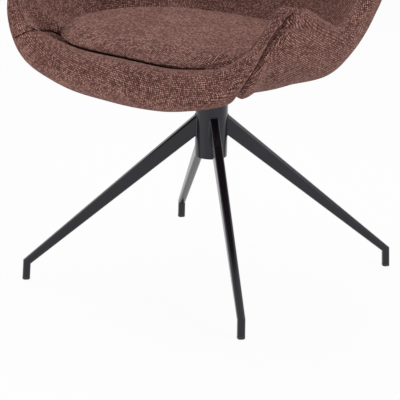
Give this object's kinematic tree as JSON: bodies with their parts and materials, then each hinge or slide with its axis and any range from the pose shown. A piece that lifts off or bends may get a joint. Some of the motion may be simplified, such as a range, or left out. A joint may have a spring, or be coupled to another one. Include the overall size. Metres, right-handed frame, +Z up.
{
  "type": "swivel chair",
  "caption": "Upholstered bucket seat with flared arms, a rolled front edge and a loose cushion, turning on a thrust bearing over a black steel base with straight splayed legs.",
  "frame": {"origin": "where the swivel axis meets the floor, in the middle of the four glides", "axes": "+Z up along the swivel axis, the seat faces -Y at rest, +X is the sitter's left"},
  "size_m": [0.6573, 0.5864, 0.836],
  "materials": {
    "black_steel": "satin black powder coat",
    "black_plastic": "matte black moulding",
    "bush_plastic": "natural nylon",
    "bearing_steel": "ground and greased",
    "plain_steel": "zinc plated",
    "plywood": "raw plywood",
    "foam": "upholstery foam",
    "upholstery": "mauve-brown tweed weave"
  },
  "bodies": {
    "base": {"hub_tube": "black_steel", "hub_cap": "black_plastic", "lower_bush": "bush_plastic", "upper_bush": "bush_plastic", "lower_race": "bearing_steel", "leg_rear_left": "black_steel", "leg_rear_right": "black_steel", "leg_front_right": "black_steel", "leg_front_left": "black_steel", "foot_post_rear_left": "black_steel", "foot_post_rear_right": "black_steel", "foot_post_front_right": "black_steel", "foot_post_front_left": "black_steel", "glide_rear_left": "black_plastic", "glide_rear_right": "black_plastic", "glide_front_right": "black_plastic", "glide_front_left": "black_plastic"},
    "bearing": {"bearing_balls": "bearing_steel", "bearing_cage": "bush_plastic"},
    "seat": {"seat_plate": "black_steel", "upper_race": "bearing_steel", "spindle": "plain_steel", "retaining_washer": "plain_steel", "circlip": "plain_steel", "bolt_washers": "plain_steel", "seat_bolts": "plain_steel", "tee_nuts": "plain_steel", "seat_board": "plywood", "core_foam": "foam", "outer_shell": "upholstery", "front_roll": "upholstery", "inner_padding": "upholstery", "seat_cushion": "upholstery"}
  },
  "joints": [
    {"name": "swivel", "type": "hinge", "parent": "base", "child": "seat", "pos_m": [0, 0, 0.3445], "axis": [0, 0, 1], "continuous": true},
    {"name": "bearing_turn", "type": "hinge", "parent": "base", "child": "bearing", "pos_m": [0, 0, 0.3445], "axis": [0, 0, 1], "continuous": true}
  ],
  "couplings": [
    {"joint": "bearing_turn", "follows": "swivel", "ratio": 0.5}
  ]
}
